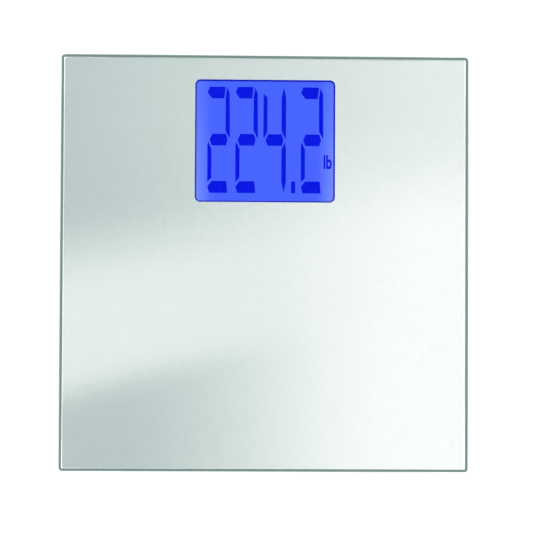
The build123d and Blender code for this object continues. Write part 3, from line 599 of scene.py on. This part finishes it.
for entry in frame["record"]["subparts"]:
    slots = nodes[entry["node"]].data.materials
    slots.clear()
    slots.append(finishes[entry["material_slot"]])
print("finishes on", len(nodes), "nodes")


def settle(piece, name, body="platform"):
    # puts the piece's place into its mesh, names it and hands it to its body
    deselectAll()
    piece.select_set(True)
    bpy.context.view_layer.objects.active = piece
    bpy.ops.object.transform_apply(location=True, rotation=True, scale=True)
    piece.name = name
    piece.data.name = name
    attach(piece, body)


def selectEdges(piece, test):
    # leaves just the edges whose two ends pass the test selected, in edit mode
    bpy.ops.object.mode_set(mode="EDIT")
    bpy.ops.mesh.select_mode(type="EDGE")
    bpy.ops.mesh.select_all(action="DESELECT")
    bpy.ops.object.mode_set(mode="OBJECT")
    points = piece.data.vertices
    for edge in piece.data.edges:
        edge.select = test(points[edge.vertices[0]].co, points[edge.vertices[1]].co)
    bpy.ops.object.mode_set(mode="EDIT")


def selectFaces(piece, test):
    # leaves just the faces whose centres pass the test selected, in edit mode
    bpy.ops.object.mode_set(mode="EDIT")
    bpy.ops.mesh.select_mode(type="FACE")
    bpy.ops.mesh.select_all(action="DESELECT")
    bpy.ops.object.mode_set(mode="OBJECT")
    for face in piece.data.polygons:
        face.select = test(face.center)
    bpy.ops.object.mode_set(mode="EDIT")


platform = {
    "corner": 3 * mm,
    "edgeRadius": 2.2 * mm,
    "bond": 0.08 * mm,  # the gap that the bond fills, so that the glass and the skin don't coincide
    "curveSteps": 8,
}


def makePlatform():
    low = glassLow + Vector((0, 0, platform["bond"]))
    size = glassHigh - low
    deselectAll()
    bpy.ops.mesh.primitive_cube_add(size=1, location=(glassHigh + low) / 2)
    glass = bpy.context.active_object
    glass.scale = size
    bpy.ops.object.transform_apply(location=False, rotation=False, scale=True)
    selectEdges(glass, lambda a, b: abs(a.z - b.z) > size.z / 2)
    bpy.ops.mesh.bevel(offset=platform["corner"], segments=platform["curveSteps"], affect="EDGES")
    selectEdges(glass, lambda a, b: abs(a.z - b.z) < size.z / 2)
    bpy.ops.mesh.bevel(offset=platform["edgeRadius"], segments=platform["curveSteps"], affect="EDGES")
    bpy.ops.object.mode_set(mode="OBJECT")
    bpy.ops.object.shade_smooth()
    # keeps the polished faces optically flat
    flatten = glass.modifiers.new("flatFaces", "WEIGHTED_NORMAL")
    flatten.weight = 100
    bpy.ops.object.modifier_apply(modifier=flatten.name)
    glass.data.materials.append(finishes["platform_glass"])
    settle(glass, "glassPlatform")
    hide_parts("glass_platform")


makePlatform()
print("platform done")

cells = {
    "count": 4,
    "pitch": 11 * mm,
    "length": 44.5 * mm,
    "nubLength": 1 * mm,
    "nubRadius": 1.9 * mm,
    "band": 9 * mm,  # length of the jacket's copper-coloured band, at the nub's end
    "fold": 0.9 * mm,  # the jacket folds over the ends by this much
    "recess": 0.3 * mm,
    "rim": 0.5 * mm,
    "rimSteps": 4,
    "sides": 64,
    "smoothBelow": 35,  # degrees between two faces
    "tolerance": 0.01 * mm,
}


def makeCells():
    # Size AAA cells lie along Y, turned end for end in their row, as the contacts need them.
    low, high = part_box("battery_cells")
    radius = (high.z - low.z) / 2
    tolerance = cells["tolerance"]
    body = cells["length"] - cells["nubLength"]
    plain = body - cells["band"]
    deselectAll()
    bpy.ops.mesh.primitive_cylinder_add(
        vertices=cells["sides"], radius=radius, depth=plain,
        location=(0, plain / 2, 0), rotation=(-math.pi / 2, 0, 0))
    model = bpy.context.active_object
    bpy.ops.object.transform_apply(location=True, rotation=True, scale=True)
    selectFaces(model, lambda centre: centre.y > plain - tolerance)
    bpy.ops.mesh.extrude_region_move(TRANSFORM_OT_translate={"value": (0, cells["band"], 0)})
    bpy.ops.mesh.inset(thickness=cells["fold"])
    bpy.ops.mesh.extrude_region_move(TRANSFORM_OT_translate={"value": (0, -cells["recess"], 0)})
    bpy.ops.mesh.inset(thickness=radius - cells["fold"] - cells["nubRadius"])
    bpy.ops.mesh.extrude_region_move(
        TRANSFORM_OT_translate={"value": (0, cells["nubLength"] + cells["recess"], 0)})
    selectFaces(model, lambda centre: centre.y < tolerance)
    bpy.ops.mesh.inset(thickness=cells["fold"])
    bpy.ops.mesh.extrude_region_move(TRANSFORM_OT_translate={"value": (0, cells["recess"], 0)})

    def onRim(point):
        atEnd = abs(point.y) < tolerance or abs(point.y - body) < tolerance
        return atEnd and math.hypot(point.x, point.z) > radius - tolerance

    selectEdges(model, lambda a, b: onRim(a) and onRim(b))
    bpy.ops.mesh.bevel(offset=cells["rim"], segments=cells["rimSteps"], affect="EDGES")
    bpy.ops.object.mode_set(mode="OBJECT")
    bpy.ops.object.shade_smooth_by_angle(angle=math.radians(cells["smoothBelow"]))
    model.data.materials.append(finishes["cell_jacket"])
    model.data.materials.append(copperBand)
    model.data.materials.append(finishes["nickel_steel"])
    for face in model.data.polygons:
        reach = math.hypot(face.center.x, face.center.z)
        isSteel = reach < radius - cells["fold"] - tolerance
        face.material_index = 2 if isSteel else 1 if face.center.y > plain else 0
    for number in range(cells["count"]):
        cell = bpy.data.objects.new("cell", model.data.copy())
        bpy.context.scene.collection.objects.link(cell)
        x = low.x + radius + number * cells["pitch"]
        facesRear = number % 2 == 1
        y = low.y + cells["length"] if facesRear else high.y - cells["length"]
        cell.location = (x, y, (low.z + high.z) / 2)
        cell.rotation_euler.z = math.pi if facesRear else 0
        settle(cell, f"batteryCell{number + 1}")
        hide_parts("battery_cells")
    bpy.data.objects.remove(model)


copperBand = plated("copperPrintedFilm", ("#A8683A", "#B97A48"), 0.3)
makeCells()
print("cells done")

# The display's figures. Outlines are in mm, to the right and down from a figure's top left corner.
display = {
    "text": "2242",
    "lefts": (9.6, 31.2, 52.7, 81.7),  # of the four figures, from the window's left edge
    "top": 5.4,  # these and the two places below are from the window's top left corner
    "inkHeight": 0.04,
    "point": {"left": 74.2, "top": 78.2, "width": 3.3, "height": 9.2},
    "unit": {"left": 99.3, "top": 57.6, "width": 6.3, "height": 11.0},
    "unitText": "lb",
    "unitBoldness": 0.03,  # how far the letters' outlines are pushed outwards, for letters 1 high
}
segments = {
    "top": ((0, 4.4), (1.7, 0), (13.9, 0), (12.8, 9.0), (3.3, 9.0)),
    "upperRight": ((15.1, 0.3), (17.0, 5.1), (17.3, 39.0), (16.8, 39.5), (13.9, 33.9), (13.9, 7.9)),
    "middle": ((1.7, 40.9), (3.7, 36.4), (14.2, 36.4), (15.6, 40.9), (14.2, 45.4), (3.3, 45.4)),
    "lowerLeft": ((0.7, 42.5), (3.2, 48.3), (3.2, 70.2), (0, 73.7), (0, 45)),
    "bottom": ((0, 77.1), (3.3, 72.8), (14.7, 72.8), (15.4, 82.0), (1.5, 82.0)),
    "upperLeft": ((0, 5.1), (3.1, 7.9), (3.1, 34.4), (0.5, 39.5), (0, 39.5)),
    "lowerRight": ((16.7, 42.3), (17.5, 48.3), (17.5, 73.4), (15.8, 81.3), (14, 73.4), (14, 48.3)),
    "pointedRight": ((15.8, 0.3), (17.5, 7.9), (17.5, 39.5), (16.8, 39.5), (14, 33.9), (14, 7.9)),
}
figures = {
    "2": ("top", "upperRight", "middle", "lowerLeft", "bottom"),
    "4": ("upperLeft", "pointedRight", "middle", "lowerRight"),
}
ink = switchedCrystal()


def windowPoint(x, y):
    # a point on the panel's face, x mm right and y mm down of the window's top left corner
    left = window["centre"].x - window["width"] / 2
    top = window["centre"].y + window["length"] / 2
    return Vector((left + x * mm, top - y * mm, panelHigh.z))


def toMesh(curve):
    # a flat curve, filled and given the ink's thickness, as a mesh
    curve.data.fill_mode = "BOTH"
    curve.data.extrude = display["inkHeight"] / 2 * mm
    deselectAll()
    curve.select_set(True)
    bpy.context.view_layer.objects.active = curve
    bpy.ops.object.convert(target="MESH")
    mesh = bpy.context.active_object
    mesh.data.materials.clear()
    mesh.data.materials.append(ink)
    return mesh


def drawShapes(outlines, name):
    # one mesh that fills closed straight-sided outlines
    data = bpy.data.curves.new(name, "CURVE")
    data.dimensions = "2D"
    for outline in outlines:
        spline = data.splines.new("POLY")
        spline.points.add(len(outline) - 1)
        for point, (x, y) in zip(spline.points, outline):
            point.co = (x * mm, -y * mm, 0, 1)
        spline.use_cyclic_u = True
    curve = bpy.data.objects.new(name, data)
    bpy.context.scene.collection.objects.link(curve)
    return toMesh(curve)


def makeFigures():
    lift = Vector((0, 0, display["inkHeight"] / 2 * mm))
    models = {}
    for figure, names in figures.items():
        models[figure] = drawShapes([segments[name] for name in names], figure)
    for number, (figure, left) in enumerate(zip(display["text"], display["lefts"])):
        model = models[figure]
        copy = bpy.data.objects.new(f"figure{number + 1}", model.data.copy())
        bpy.context.scene.collection.objects.link(copy)
        copy.location = windowPoint(left, display["top"]) + lift
        settle(copy, f"displayFigure{number + 1}")
    for model in models.values():
        bpy.data.objects.remove(model)
    point = display["point"]
    wide, high = point["width"], point["height"]
    dot = drawShapes([((0, 0), (wide, 0), (wide, high), (0, high))], "dot")
    dot.location = windowPoint(point["left"], point["top"]) + lift
    settle(dot, "displayPoint")
    unit = display["unit"]
    bpy.ops.object.text_add(location=(0, 0, 0))
    text = bpy.context.active_object
    text.data.body = display["unitText"]
    text.data.offset = display["unitBoldness"]
    letters = toMesh(text)
    xs = [vertex.co.x for vertex in letters.data.vertices]
    ys = [vertex.co.y for vertex in letters.data.vertices]
    letters.scale.x = unit["width"] * mm / (max(xs) - min(xs))
    letters.scale.y = unit["height"] * mm / (max(ys) - min(ys))
    corner = windowPoint(unit["left"], unit["top"] + unit["height"])
    letters.location = corner + lift - Vector((min(xs) * letters.scale.x, min(ys) * letters.scale.y, 0))
    settle(letters, "displayUnit")


makeFigures()
print("display done")
